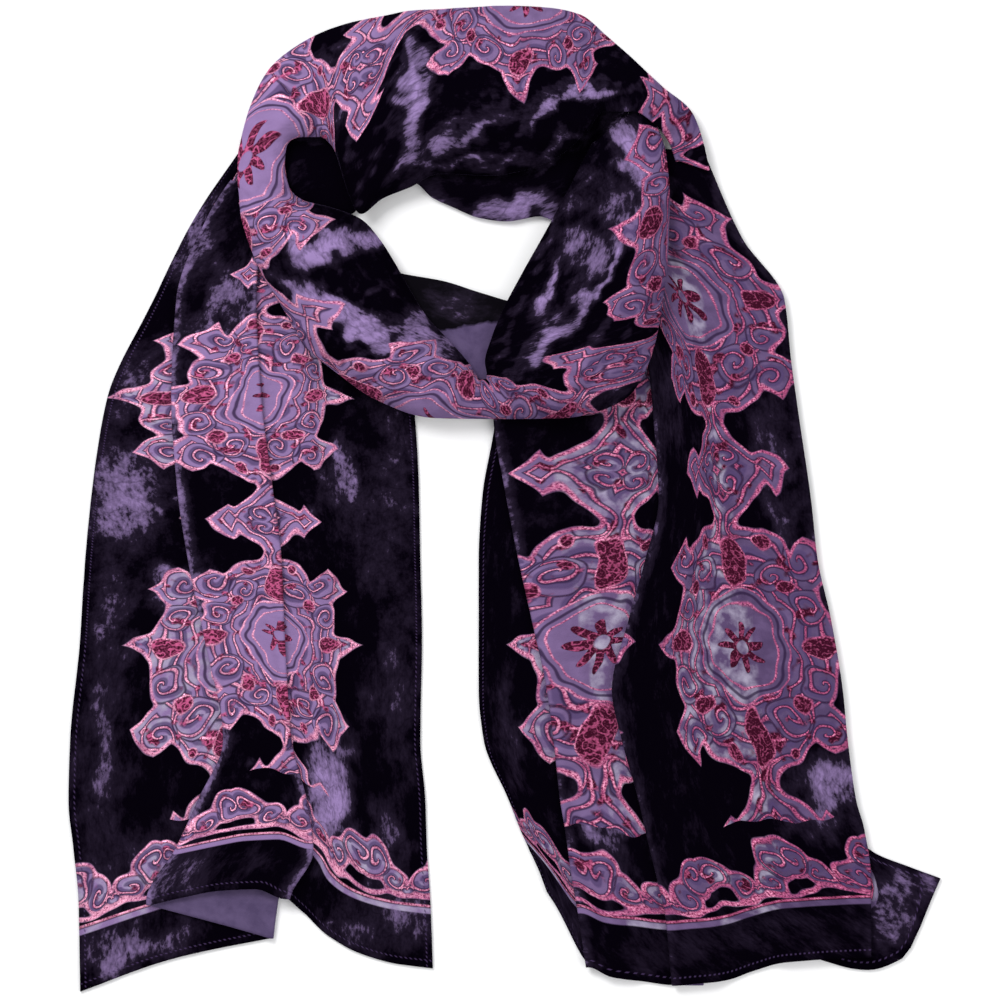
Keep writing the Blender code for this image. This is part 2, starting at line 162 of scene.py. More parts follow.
# Right end
RIGHT_RAILS = Table("y crease_v crease_s crease_1 crease_2 crease_3 crease_4 inner", [
    (-290, 176, 217, 100, 118, 50, 68, 35),
    (-249, 177, 217, 96, 114, 44, 62, 28),
    (-226, 178, 217, 91, 109, 40, 58, 21),
    (-197, 176, 213, 84, 102, 36, 54, 8),
    (-179, 172, 208, 80, 98, 33, 51, 1),
    (-143, 167, 203, 70, 88, 29, 47, -14),
    (-113, 164, 200, 64, 82, 25, 43, -17),
    (-71, 157, 193, 74, 92, 16, 34, -17),
    (-35, 149, 185, 84, 102, 8, 26, -17),
    (1, 145, 181, 92, 110, 1, 19, -15),
    (49, 138, 174, 89, 107, -7, 11, -7),
    (85, 133, 169, 85, 103, -9, 9, -4),
    (121, 129, 165, 72, 92, -9, 9, -4),
    (157, 108, 140, 60, 80, -9, 9, -4),
    (211, 88, 116, 55, 75, -9, 9, -4),
])
RIGHT_RUNS = [
    Run("free_edge", "crease_v", 0.0, 0.0, 0.0, "", "", 4),
    Run("crease_v", "crease_s", BACK, BACK, BACK, "", "", 2),
    Run("crease_s", "crease_1", OVER, OVER, 0.3, "crease_v", "crease_2", 8),
    Run("crease_1", "crease_2", BACK, BACK, BACK, "", "", 1),
    Run("crease_2", "crease_3", 0.0, OVER, 0.0, "", "crease_4", 7),
    Run("crease_3", "crease_4", BACK, BACK, BACK, "", "", 1),
    Run("crease_4", "inner", 0.0, 0.0, 0.0, "", "", 3),
]
RIGHT_ENDS = Table("place hem top", [
    (0.0, -226, 211), (0.2, -276, 211), (0.45, -281, 211), (1.0, -272, 211), (2.0, -273, 211),
    (2.41, -276, 211), (2.6, -282, 211), (2.7, -286, 190), (2.8, -288, 160), (2.9, -289, 130),
    (3.0, -290, 109), (4.0, -290, 104), (4.25, -290, 76), (4.5, -288, 64), (4.8, -285, 58),
    (5.0, -279, 57), (6.0, -283, 57), (6.5, -277, 57), (7.0, -234, 58),
])
FREE_EDGE = Table("share x y", [
    (0.0, 260, -226), (0.04, 241, -219), (0.08, 221, -211), (0.12, 207, -199), (0.18, 196, -181),
    (0.28, 188, -139), (0.43, 177, -66), (0.60, 164, 16), (0.78, 151, 105), (0.93, 117, 177),
    (1.0, 104, 211),
])
FREE_HEM = Table("part x y", [
    (0.0, 260, -226), (0.2, 237, -274), (0.45, 217, -281), (1.0, 178, -272),
])
FREE_HEM_FADE = 0.16

# Loop
LOOP = Table("at inner_x inner_y outer_x outer_y inner_z outer_z crest", [
    (0, 52, 214, 82, 240, 11, 8, 0),
    (1, 35, 181, 94, 207, 11, 12, 8),
    (2, 23, 159, 96, 181, 9, 14, 17),
    (3, 10, 136, 95, 148, 7, 14, 21),
    (4, -1, 115, 91, 114, 10, 14, 20),
    (5, -8, 98, 86, 90, 12, 14, 19),
    (6, -12, 84, 71, 63, 13, 14, 17),
    (7, -11, 76, 33, 51, 13, 12, 13),
    (7.6, -11.3, 72, 2, 50.5, 13, 10, 9),
    (8, -14, 72, -6, 50.5, 13, 10, 9),
    (8.4, -16.7, 72, -14, 50.5, 13, 10, 9),
    (9, -23, 81, -43, 51, 12, 13, 13),
    (10, -35, 95, -76, 61, 11, 14, 17),
    (11, -49, 110, -100, 77, 10, 14, 19),
    (12, -59, 126, -119, 93, 9.5, 14, 20),
    (13, -68, 142, -133, 116, 9, 14, 19),
    (14, -77, 156, -147, 140, 8, 14, 18),
    (15, -88, 168, -154, 157, 8, 14, 17),
    (16, -106, 175, -158, 172, 9, 14, 13),
    (17, -122, 179, -159, 184, 10, 14, 9),
    (18, -131, 187, -160, 194, 10, 12, 7),
    (19, -134, 202, -160, 206, 10, 7, 7),
    (20, -133, 212, -158, 218, 11, 4, 7),
    (20.5, -129.5, 217, -156, 226, 11.5, 3.6, 8),
    (21, -123, 219, -153, 236, 12, 3.4, 9),
    (22, -112, 219, -142, 258, 13, 3.4, 11),
    (23, -103, 212, -124, 273, 14, 3.4, 12),
    (24, -98, 198, -106, 282, 14, 3.4, 13),
    (25, -93, 183, -89, 287, 13, 3.4, 14),
    (26, -87, 173, -73, 290, 12, 3.4, 15),
    (27, -75, 182, -58, 293, 12, 3.4, 16),
    (28, -58, 189, -40, 294, 12, 3.4, 17),
    (29, -40, 197, -22, 295, 12, 3.4, 17),
    (30, -10, 196, -1, 296, 12, 3.4, 17),
    (31, 17, 201, 23, 295, 13, 3.4, 15),
    (32, 33, 209, 43, 291, 14, 3.4, 13),
    (33, 47, 222, 58, 279, 16, 3.4, 10),
    (34, 58, 234, 74, 265, 16, 3.4, 7),
    (35, 75, 234, 92, 248, 16, 4, 4),
    (36, 88, 227, 110, 232, 14, 7, 1),
    (37, 98, 215, 117, 212, 8.6, 8.6, 0),
    (38, 102, 204, 120, 198, 8.4, 8.4, 0),
])
# Where the loop's inner edge lies on the cloth at each section: across it and along it
LOOP_MAP = Table("at across along", [
    (0, 327, 520), (1, 357, 550), (2, 375, 578), (3, 382, 605), (4, 380, 640), (5, 355, 677),
    (6, 325, 715), (7, 314, 745), (8, 308, 772), (9, 312, 800), (10, 322, 832), (11, 335, 860),
    (12, 345, 885), (13, 352, 911), (14, 352, 935), (15, 340, 955), (16, 320, 972),
    (17, 298, 985), (19, 282, 1005), (21, 276, 1022), (23, 286, 1052), (24.5, 324, 1092),
    (28, 379, 1148), (30.5, 372, 1210), (33, 339, 1270), (36, 282, 1325), (38, 244, 1355),
])
FOLDS = named_rows(Fold, [
    (77, 167, 56, 138, 3.0, 14),
    (56, 138, 32, 102, 3.5, 13),
    (32, 102, 8, 72, 3.5, 13),
    (21, 144, 32, 106, 2.5, 12),
    (-139, 163, -115, 147, 3.0, 14),
    (-115, 147, -73, 152, 3.0, 14),
    (-124, 140, -64, 115, -2.0, 18),
    (-124, 124, -97, 109, 3.0, 14),
    (-97, 109, -52, 94, 3.0, 14),
    (-38, 213, -2, 227, 3.5, 13),
    (16, 221, 32, 241, 3.5, 13),
    (32, 241, 58, 243, 3.5, 13),
    (-55, 259, -61, 217, 3.0, 14),
    (-148, 217, -114, 237, 2.5, 13),
])
UNDER = Table("at inner_x inner_y outer_x outer_y inner_z outer_z crest", [
    (-1, -132, 191, -134, 211, 3.4, 3.4, 1),
    (0, -126, 183, -128, 218, 3.4, 3.4, 2),
    (1, -112, 175, -110, 222, 3.4, 3.4, 3),
    (2, -95, 173, -89, 222, 3.4, 3.4, 3),
    (3, -78, 190, -70, 220, 3.4, 3.4, 3),
    (4, -56, 192, -52, 220, 3.4, 3.4, 3),
    (5, -44, 183, -41, 218, 3.4, 3.4, 4),
    (6, -31, 177, -27, 216, 3.4, 3.4, 4),
    (7, -16, 171, -11, 214, 3.4, 3.4, 4),
    (8, 0, 169, 5, 214, 3.4, 3.4, 4),
    (9, 19, 172, 22, 216, 3.4, 3.4, 4),
    (10, 31, 169, 36, 220, 3.4, 3.4, 3),
    (11, 42, 176, 47, 226, 3.4, 3.4, 1),
    (12, 53, 193, 60, 236, 3.4, 3.4, 0.5),
    (13, 64, 214, 76, 241, 3.4, 3.4, 0),
])
INSIDE = Table("at inner_x inner_y outer_x outer_y inner_z outer_z crest", [
    (0, 10, 117, 2, 80, 3.4, 7.4, 0),
    (1, 1, 119, -6, 72, 3.4, 7.4, 0),
    (2, -19, 125, -14, 70, 3.4, 7.4, 1),
    (3, -38, 131, -22, 75, 3.4, 7.4, 1),
    (4, -65, 136, -32, 86, 3.4, 6, 0),
    (5, -76, 140, -40, 96, 3.4, 4, 0),
])

# Soft puckers of the ends, each about a millimetre high, that the solids don't have
TAIL_CREASES = named_rows(Fold, [
    (-206, -8, -192, -44, 0.9, 6),
    (-197, 0, -184, -42, 0.8, 5),
    (-238, 68, -200, 66, 0.9, 8),
    (-178, 66, -150, 62, 0.7, 7),
    (-250, -60, -235, -120, 0.8, 12),
    (-240, 20, -222, -30, 0.9, 12),
    (-246, -150, -228, -215, 0.7, 12),
    (-112, -10, -104, -100, 0.9, 12),
    (-84, 30, -78, -60, 0.8, 12),
    (-96, -150, -84, -230, 1.0, 12),
    (-70, -90, -62, -160, 0.8, 10),
    (-104, -255, -56, -268, 0.9, 7),
    (-150, -160, -142, -220, 0.8, 8),
    (70, 40, 62, -60, 0.9, 12),
    (110, 60, 118, -30, 0.9, 14),
    (140, 40, 152, -60, 0.8, 12),
    (96, -100, 120, -200, 1.0, 14),
    (148, -90, 176, -190, 0.9, 14),
    (180, -150, 196, -200, 0.8, 12),
    (30, 20, 18, -60, 0.8, 10),
    (10, -30, 6, -110, 0.8, 9),
    (56, -120, 70, -190, 0.9, 10),
    (66, -240, 60, -285, 1.2, 9),
    (126, -240, 132, -282, 1.2, 9),
    (160, -238, 164, -276, 1.0, 9),
    (196, -232, 206, -270, 1.0, 10),
    (222, -226, 234, -262, 1.0, 10),
    (20, -215, 40, -280, 0.9, 9),
])
# Finer folds of the loop
LOOP_CREASES = named_rows(Fold, [
    (-121, 171, -112, 154, 1.2, 6),
    (-132, 150, -104, 134, 1.0, 8),
    (-108, 136, -62, 118, 0.9, 7),
    (-88, 128, -46, 100, 1.0, 7),
    (-112, 100, -70, 74, 1.4, 8),
    (-96, 88, -40, 62, 1.2, 8),
    (-60, 84, -20, 66, 1.2, 7),
    (-150, 170, -142, 130, 1.2, 8),
    (-154, 196, -150, 160, 1.0, 7),
    (50, 190, 26, 150, 1.2, 8),
    (66, 200, 44, 170, 1.2, 8),
    (86, 170, 78, 120, 1.3, 8),
    (88, 140, 70, 90, 1.2, 8),
    (66, 112, 40, 70, 1.4, 8),
    (12, 120, 0, 84, 1.0, 6),
    (48, 62, 6, 60, 1.0, 6),
    (-146, 232, -126, 256, 1.2, 8),
    (-132, 226, -108, 262, 1.2, 8),
    (-92, 240, -88, 200, 1.2, 9),
    (-100, 268, -60, 280, 1.0, 8),
    (-74, 206, -58, 198, 1.3, 7),
    (-44, 248, -30, 228, 1.1, 8),
    (-26, 280, 10, 284, 1.1, 9),
    (6, 262, 26, 256, 1.3, 8),
    (20, 214, 36, 228, 1.0, 6),
    (44, 276, 70, 254, 1.3, 8),
    (72, 250, 96, 226, 1.3, 8),
    (88, 246, 108, 222, 1.2, 8),
    (-34, 200, 24, 204, 1.2, 7),
])

# Painted highlight patches on the pile, partly where it lies the other way, as seen from above
LIGHT_PATCHES = named_rows(Patch, [
    (-230, 4, 34, 24, 80, 0.66),
    (-236, -70, 46, 12, 88, 0.44),
    (-243, -150, 60, 14, 90, 0.46),
    (-215, -225, 46, 26, 20, 0.42),
    (-226, -268, 36, 16, 10, 0.60),
    (-218, 70, 30, 16, 40, 0.52),
    (-170, 118, 30, 16, 60, 0.55),
    (-186, 160, 26, 14, 60, 0.60),
    (-98, 14, 10, 26, 0, 0.62),
    (-66, 40, 12, 26, 0, 0.46),
    (-194, -52, 12, 20, 80, 0.62),
    (-107, -176, 12, 34, 0, 0.95),
    (-72, -208, 10, 26, 0, 0.55),
    (-62, -250, 34, 18, 0, 0.42),
    (-78, -10, 20, 40, 0, 0.36),
    (-66, -110, 14, 44, 0, 0.36),
    (-92, -262, 18, 10, 150, 0.45),
    (2, -140, 8, 30, 10, 0.32),
    (56, -192, 12, 22, 20, 0.62),
    (196, -172, 26, 20, 30, 0.72),
    (176, -96, 10, 40, 10, 0.36),
    (140, 110, 16, 36, 20, 0.34),
    (162, 10, 10, 60, 8, 0.36),
    (232, -240, 24, 18, 60, 0.55),
    (250, -228, 8, 20, 60, 0.70),
    (150, -258, 60, 12, 0, 0.22),
    (90, -268, 40, 10, 0, 0.20),
    (36, -252, 10, 26, 20, 0.36),
    (60, 30, 8, 44, 0, 0.30),
    (96, 60, 12, 30, 0, 0.26),
    (-130, 158, 20, 7, 150, 1.0),
    (-108, 149, 22, 8, 10, 1.0),
    (-90, 158, 22, 9, 20, 0.80),
    (-112, 118, 24, 7, 148, 1.0),
    (-84, 102, 26, 7, 152, 1.0),
    (-52, 96, 18, 10, 150, 0.90),
    (-40, 88, 12, 9, 120, 0.72),
    (-56, 240, 8, 30, 0, 1.0),
    (-50, 262, 9, 12, 20, 0.60),
    (-60, 203, 13, 7, 20, 0.72),
    (-112, 232, 14, 9, 60, 0.90),
    (-92, 262, 16, 10, 30, 0.44),
    (-24, 219, 26, 5, 22, 0.72),
    (24, 234, 12, 4, 60, 0.90),
    (44, 243, 20, 4, 5, 0.86),
    (-20, 202, 40, 3, 5, 0.50),
    (30, 212, 18, 3, 40, 0.50),
    (78, 208, 10, 22, 25, 0.95),
    (86, 186, 7, 18, 5, 0.80),
    (62, 178, 10, 16, 30, 0.50),
    (46, 150, 10, 16, 60, 0.55),
    (26, 126, 5, 22, 164, 0.95),
    (56, 132, 4, 34, 142, 0.90),
    (74, 84, 10, 6, 20, 0.60),
    (26, 98, 20, 5, 45, 0.85),
    (80, 160, 8, 26, 20, 0.62),
    (66, 76, 20, 10, 30, 0.40),
    (6, 174, 34, 7, 8, 0.80),
    (-44, 186, 22, 7, 150, 0.40),
    (-26, 118, 18, 10, 160, 0.52),
])
PATCH_EDGE = 0.80          # share of a patch over which its strength fades
# Waves that bend the patches' edges: reach, length and the seeds in x and in y
PATCH_WAVES = ((5.0, 34.0, 6.0, 8.0), (2.5, 13.0, 7.0, 9.0))
FLANK_START = 0.03         # slope from which a crease's flank starts to get a painted highlight
FLANK_RANGE = 0.22
FLANK_STEP = (0.6, -0.8)   # the way the slope is measured in, in plan
FOLD_SHINE = 5.0           # reach of the painted highlight line along a pleat's fold

# Design of the cloth, in millimetres: two columns of pointed medallions and a scroll border
MIDDLE = 175.0             # middle of the cloth's width
COLUMN = 79.0              # a column's distance from it
FIRST_ROW = 175.0          # first medallion's middle, from the hem
ROW = 207.0                # from one medallion's middle to the next
HALF_ROW = ROW / 2.0
HEM_BAND = 33.0            # plain band above each hem
BORDER_TOP = 41.0          # top of the border between its scrolls
BORDER_END = 80.0          # where the border's field gives way to the medallions'
BORDER_REPEAT = 53.0
WARP = 15.0                # unevenness of the drawing
WARP_SIZE = 21.0
ELSEWHERE = 100.0          # distance added where a shape doesn't belong
# Half-widths and half-heights of the drawing's ovals and lozenges, and their millimetres a share
Shape = namedtuple("Shape", "wide high grain")
BODY = Shape(48.0, 68.0, 54.0)
UPRIGHT_TIP = Shape(36.0, 93.0, 29.0)
SIDE_TIP = Shape(68.0, 38.0, 28.0)
LOZENGE = Shape(32.0, 36.0, 23.0)
OVAL = Shape(20.0, 24.0, 22.0)
TALL_LEAF = Shape(7.0, 16.0, 9.0)
WIDE_LEAF = Shape(8.0, 6.0, 7.0)
LOBE_DEPTH = 4.5
STEM = 7.5                 # half the width of the bridge between medallion and link
STITCH_PITCH = 2.6
STITCH_INSET = 4.5         # hem stitches from the hem
SELVEDGE_INSET = 3.5       # stitches from the long edges
# Millimetres across the cloth at each share of a pleated end's made width
LEFT_SPREAD = Table("share across", [(0.0, 6), (0.5, 181), (1.0, 356)])
RIGHT_SPREAD = Table("share across", [
    (0.0, 0), (0.155, 46), (0.295, 96), (0.684, 254), (0.896, 305), (1.0, 350),
])
Scroll = namedtuple("Scroll", "x y radius turn")
SCROLLS = [
    Scroll(22, 41, 11.0, 1),
    Scroll(40, 22, 10.0, -1),
    Scroll(39, 50, 10.5, 1),
    Scroll(11, 70, 8.0, -1),
    Scroll(58, 3, 7.5, 1),
    Scroll(7, 98, 6.5, 1),
]
BORDER_SCROLLS = [
    Scroll(9, 49, 7.5, 1),
    Scroll(22, 58, 9.5, -1),
    Scroll(1, 44, 3.0, 1),
]
SCROLL_PITCH = 6.6
STRAP_PITCH = 7.8
STRAP_START = 0.72         # where in a band's width the outline stands


def ease(part):
    """A smooth climb from 0 to 1."""
    part = np.clip(part, 0.0, 1.0)
    return part * part * (3.0 - 2.0 * part)


def mix(first, second, part):
    """The value a part of the way from the first to the second."""
    return first + (second - first) * part


def run_height(run, rails, y, x, x_start, x_end, side):
    """Height of a run's reverse side: up over the folds beneath it and down between them."""
    part = np.clip((x - x_start) / np.where(x_end == x_start, 1.0, x_end - x_start), 0.0, 1.0)
    high = mix(run.z_start, run.z_end, ease(part))
    if not run.over_start and not run.over_end:
        return high
    down = 1.0
    if run.over_start:
        past = side * (x - rails.read(run.over_start, y))
        past = np.minimum(past, side * (x - x_start))
        down = down * ease((past - CLEAR) / SLOPE)
    if run.over_end:
        past = side * (rails.read(run.over_end, y) - x)
        past = np.minimum(past, side * (x_end - x))
        down = down * ease((past - CLEAR) / SLOPE)
    return mix(high, run.low, down)


def tucked_run(crease_x, crease_y, share, part):
    """Points of the right end's outer run, whose free edge comes out from under it at the hem."""
    x = mix(FREE_EDGE.read("x", share), crease_x, part)
    y = mix(FREE_EDGE.read("y", share), crease_y, part)
    fade = np.clip(1.0 - share / FREE_HEM_FADE, 0.0, 1.0) ** 2.0
    x = x + fade * (FREE_HEM.read("x", part) - x[0])
    y = y + fade * (FREE_HEM.read("y", part) - y[0])
    return x, y


def pleated_surface(rails, runs, ends, side):
    """Points of a pleated end's reverse side, as a grid of rows along it and columns across."""
    share = np.linspace(0.0, 1.0, TAIL_ROWS + 1)
    columns = []
    for number, run in enumerate(runs):
        last = number == len(runs) - 1
        back = abs(run.z_start - runs[number - 1].z_end) / 2.0 if number else 0.0
        ahead = 0.0 if last else abs(runs[number + 1].z_start - run.z_end) / 2.0
        for part in np.linspace(0.0, 1.0, run.steps * RUN_FINENESS + 1):
            place = number + part
            y = mix(ends.read("hem", place), ends.read("top", place), share)
            x_end = rails.read(run.end, y) - side * ahead
            if run.start == "free_edge":
                crease_y = mix(ends.read("hem", 1.0), ends.read("top", 1.0), share)
                crease_x = rails.read(run.end, crease_y) - side * ahead
                x, y = tucked_run(crease_x, crease_y, share, part)
                z = np.zeros_like(x)
            else:
                x_start = rails.read(run.start, y) + side * back
                x = mix(x_start, x_end, part)
                z = run_height(run, rails, y, x, x_start, x_end, side)
            columns.append((x, y, z))
        if last:
            continue
        y = mix(ends.read("hem", number + 1.0), ends.read("top", number + 1.0), share)
        x_end = rails.read(run.end, y) - side * ahead
        rise = runs[number + 1].z_start - run.z_end
        for step in range(1, FOLD_STEPS):
            angle = np.pi * step / FOLD_STEPS
            x = x_end + side * ahead * np.sin(angle)
            z = run.z_end + rise * (1.0 - np.cos(angle)) / 2.0
            columns.append((x, y, np.full_like(x, z)))
        side = -side
    return np.stack([np.stack(column, axis=-1) for column in columns], axis=1)


def arched_surface(sections, stations, columns):
    """Points of a rounded stretch's reverse side, with both its edges turned under."""
    angles = np.linspace(np.pi + EDGE_CURL, -EDGE_CURL, columns + 1)
    at = np.asarray(stations, dtype=float)[:, None]
    across = (1.0 - np.cos(angles)) / 2.0
    bow = np.abs(2.0 * across - 1.0)
    upper = (1.0 - bow ** ARCH_POWER) ** ARCH_ROUND
    above = np.where(np.sin(angles) >= 0.0, upper, 0.0)
    below = np.where(np.sin(angles) < 0.0, np.sin(angles), 0.0)
    x = mix(sections.read("inner_x", at), sections.read("outer_x", at), across)
    y = mix(sections.read("inner_y", at), sections.read("outer_y", at), across)
    z = mix(sections.read("inner_z", at), sections.read("outer_z", at), across)
    z = z + sections.read("crest", at) * above + CURL_DROP * below
    return np.stack((x, y, z), axis=-1)


def fold_lift(folds, x, y):
    """How far the ridges and troughs lift the places in plan."""
    lift = np.zeros_like(x)
    for fold in folds:
        along_x, along_y = fold.x2 - fold.x1, fold.y2 - fold.y1
        share = (x - fold.x1) * along_x + (y - fold.y1) * along_y
        share = np.clip(share / (along_x ** 2 + along_y ** 2), 0.0, 1.0)
        away = np.hypot(x - fold.x1 - share * along_x, y - fold.y1 - share * along_y)
        bump = ease(1.0 - away / fold.reach)
        lift = np.where(np.abs(fold.height * bump) > np.abs(lift), fold.height * bump, lift)
    return lift


def soft_waves(x, y, wave, seed):
    """Uneven soft waves between -1 and 1, of about the given length."""
    total = np.zeros_like(x)
    count = 7
    for number in range(count):
        angle = seed * 1.7 + number * 2.4
        along = (x * np.cos(angle) + y * np.sin(angle)) * 2.0 * np.pi / wave
        beside = (x * np.sin(angle) - y * np.cos(angle)) * 2.0 * np.pi / (wave * 1.7)
        bend = 0.8 * np.sin(beside + number)
        total += np.sin(along * (0.8 + 0.07 * number) + seed * 3.1 + number * 1.9 + bend)
    return total / count * 2.0


def slope_light(lifts, x, y):
    """Painted highlight on the creases' flanks that face the light, from 0 to 1."""
    before = lifts(x - FLANK_STEP[0], y - FLANK_STEP[1])
    return ease((lifts(x, y) - before - FLANK_START) / FLANK_RANGE)


def patch_light(x, y):
    """How strong the painted highlights on the pile are at each place in plan, from 0 to 1,
    partly where the pile lies the other way.
    """
    light = np.zeros_like(x)
    wander_x = sum(reach * soft_waves(x, y, wave, seed) for reach, wave, seed, _ in PATCH_WAVES)
    wander_y = sum(reach * soft_waves(x, y, wave, seed) for reach, wave, _, seed in PATCH_WAVES)
    x, y = x + wander_x, y + wander_y
    for patch in LIGHT_PATCHES:
        turn = math.radians(patch.angle)
        along = (x - patch.x) * math.cos(turn) + (y - patch.y) * math.sin(turn)
        beside = (y - patch.y) * math.cos(turn) - (x - patch.x) * math.sin(turn)
        away = np.hypot(along / patch.long, beside / patch.wide)
        share = ease((1.0 + PATCH_EDGE - away) / PATCH_EDGE / 2.0)
        light = np.maximum(light, patch.strength * share)
    return light


class Paint:
    """The nodes of one material."""

    def __init__(self, name):
        self.material = bpy.data.materials.new(name)
        self.material.use_nodes = True
        self.tree = self.material.node_tree
        self.shader = self.tree.nodes["Principled BSDF"]

    def node(self, kind, settings, values, output=0):
        """A node of that type with its settings, its sockets' values or links, and its output."""
        made = self.tree.nodes.new(kind)
        for setting, value in settings.items():
            setattr(made, setting, value)
        for place, value in values.items():
            self.feed(made.inputs[place], value)
        return Wire(self, made.outputs[output])

    def feed(self, socket, value):
        """Links or sets one socket."""
        if isinstance(value, Wire):
            self.tree.links.new(value.socket, socket)
        else:
            socket.default_value = value

    def coat(self, colour, roughness, height):
        """Colour, roughness and relief of the shader, the relief from a height in millimetres."""
        values = {"Strength": RELIEF, "Distance": MM, "Height": height}
        self.feed(self.shader.inputs["Base Color"], colour)
        self.feed(self.shader.inputs["Roughness"], roughness)
        self.feed(self.shader.inputs["Normal"], self.node("ShaderNodeBump", {}, values))

    def maths(self, operation, *values):
        """A Math node."""
        return self.node("ShaderNodeMath", {"operation": operation}, dict(enumerate(values)))

    def blend(self, share, first, second):
        """A colour a share of the way from the first to the second."""
        settings = {"data_type": "RGBA", "clamp_factor": True}
        return self.node("ShaderNodeMix", settings, {0: share, 6: first, 7: second}, output=2)

    def place(self, x, y, z=0.0):
        """A vector from three values."""
        return self.node("ShaderNodeCombineXYZ", {}, {0: x, 1: y, 2: z})

    def noise(self, where, size, detail=2.0, roughness=0.5):
        """Soft noise between 0 and 1 with marks of about that size."""
        values = {"Vector": where, "Scale": 1.0 / size, "Detail": detail, "Roughness": roughness}
        return self.node("ShaderNodeTexNoise", {}, values)

    def attribute(self, name):
        """One of the mesh's own values."""
        settings = {"attribute_type": "GEOMETRY", "attribute_name": name}
        return self.node("ShaderNodeAttribute", settings, {}, output=2)

    def ramp(self, share, *stops):
        """A value from stops of place and level, straight between them."""
        level = stops[0][1]
        result = None
        for (start, low), (end, high) in zip(stops, stops[1:]):
            part = ((share - start) / (end - start)).clamped()
            step = part * (high - low)
            result = step if result is None else result + step
        return result + level


class Wire:
    """A socket that takes part in Python expressions, each of which adds its Math node."""

    def __init__(self, paint, socket):
        self.paint = paint
        self.socket = socket

    def __add__(self, other):
        return self.paint.maths("ADD", self, other)

    def __radd__(self, other):
        return self.paint.maths("ADD", other, self)

    def __sub__(self, other):
        return self.paint.maths("SUBTRACT", self, other)

    def __rsub__(self, other):
        return self.paint.maths("SUBTRACT", other, self)

    def __mul__(self, other):
        return self.paint.maths("MULTIPLY", self, other)

    def __truediv__(self, other):
        return self.paint.maths("DIVIDE", self, other)

    def __pow__(self, other):
        return self.paint.maths("POWER", self, other)

    def __abs__(self):
        return self.paint.maths("ABSOLUTE", self)

    def clamped(self):
        """Held between 0 and 1."""
        return self.paint.node("ShaderNodeClamp", {}, {0: self})

    def wave(self):
        """Its sine."""
        return self.paint.maths("SINE", self)

    def part(self):
        """Its fraction."""
        return self.paint.maths("FRACT", self)

    def least(self, other, soft=0.0):
        """The smaller of two, rounded off where they meet."""
        if soft:
            return self.paint.maths("SMOOTH_MIN", self, other, soft)
        return self.paint.maths("MINIMUM", self, other)

    def most(self, other):
        """The larger of two."""
        return self.paint.maths("MAXIMUM", self, other)

    def inside(self, blur=0.35):
        """1 where a distance is below 0, with a soft edge."""
        return (0.5 - self / (2.0 * blur)).clamped()


def length(x, y):
    """Length of a flat vector."""
    return (x * x + y * y) ** 0.5


def oval(shape, x, y):
    """Rough distance to an oval about x = y = 0, below 0 inside."""
    return (length(x / shape.wide, y / shape.high) - 1.0) * shape.grain


def lozenge(shape, x, y):
    """Rough distance to a lozenge, for x and y from 0 up, below 0 inside."""
    return (x / shape.wide + y / shape.high - 1.0) * shape.grain


def bands(phase):
    """1 on the crest of each band of the phase, 0 between them."""
    return 1.0 - abs(phase.part() - 0.5) * 2.0


def scroll_phase(paint, base, x, y, scrolls):
    """The strap bands' phase, wound into a spiral inside each scroll."""
    phase = base
    rims = None
    for scroll in scrolls:
        across, up = x - scroll.x, y - scroll.y
        radius = length(across, up)
        turn = paint.maths("ARCTAN2", up, across) * (scroll.turn / (2.0 * math.pi))
        within = (radius - scroll.radius).inside(0.1)
        phase = phase + within * (radius / SCROLL_PITCH + turn + 2.0 - phase)
        rim = (abs(radius - scroll.radius) - 0.6).inside()
        rims = rim if rims is None else rims.most(rim)
    return phase, rims


def medallion(paint, x, y):
    """Distance to the medallion's outline, below 0 inside; x and y are from its middle."""
    lobes = abs((paint.maths("ARCTAN2", y, x) * 4.0).wave()) * LOBE_DEPTH
    body = oval(BODY, x, y) - lobes
    corner = (abs(x - 42.0) + abs(y - 46.0) - 16.0) * 0.75
    shape = body.least(lozenge(UPRIGHT_TIP, x, y), 4.0).least(lozenge(SIDE_TIP, x, y), 4.0)
    return shape.least(corner, 3.0)


def link(x, y):
    """Distance to the small shape between two medallions; y is from its middle."""
    ear = (abs(x - 29.0) + y - 14.0) * 0.75
    return lozenge(LOZENGE, x, y).least(ear, 4.0)


